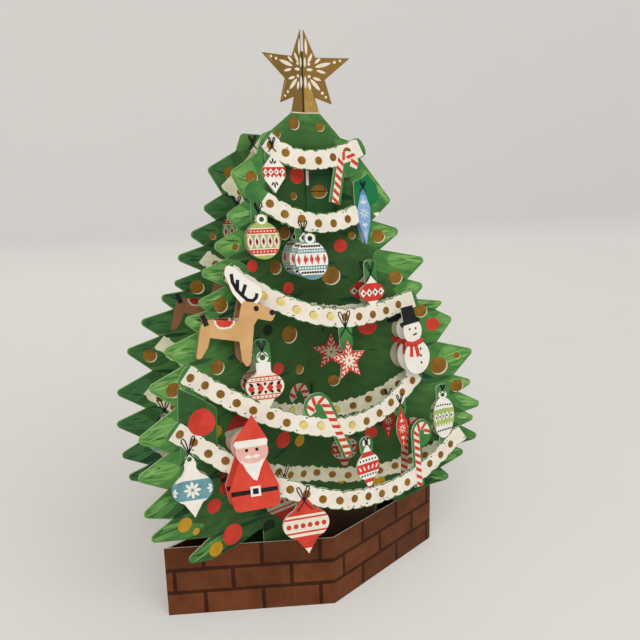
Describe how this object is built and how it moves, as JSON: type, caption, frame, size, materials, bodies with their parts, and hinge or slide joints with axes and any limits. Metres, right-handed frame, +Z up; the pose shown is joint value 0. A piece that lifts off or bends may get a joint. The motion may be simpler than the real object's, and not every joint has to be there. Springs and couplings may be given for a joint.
{
  "type": "pop-up christmas tree card",
  "caption": "Free-standing pop-up Christmas card: folded die-cut tree sheets with paper garlands, ornaments and a star, standing in a folded brick-print planter.",
  "frame": {"origin": "middle of the planter's bottom edge, on the surface that the card stands on", "axes": "+Z up, +X to the right along the planter's long diagonal, -Y to the front, where the garlands are"},
  "size_m": [0.1464, 0.0613, 0.2277],
  "materials": {
    "brick_card": "matte brick print",
    "tree_card": "matte painted-leaf print with foil dots",
    "strut_card": "matte print, pale cut edge",
    "garland_card": "matte print with foil dots",
    "figure_card": "matte print",
    "pad_card": "plain"
  },
  "bodies": {
    "root": {"planter": "brick_card", "front_tree": "tree_card", "back_tree": "tree_card", "upper_strut": "strut_card", "lower_strut": "strut_card", "top_garland": "garland_card", "upper_garland": "garland_card", "middle_garland": "garland_card", "lower_garland": "garland_card", "bottom_garland": "garland_card", "reindeer": "figure_card", "father_christmas": "figure_card", "snowman": "figure_card", "round_bauble": "figure_card", "striped_bauble": "figure_card", "reindeer_pad": "pad_card", "father_christmas_pad": "pad_card", "snowman_pad": "pad_card", "round_bauble_pad": "pad_card", "striped_bauble_pad": "pad_card"}
  },
  "joints": []
}
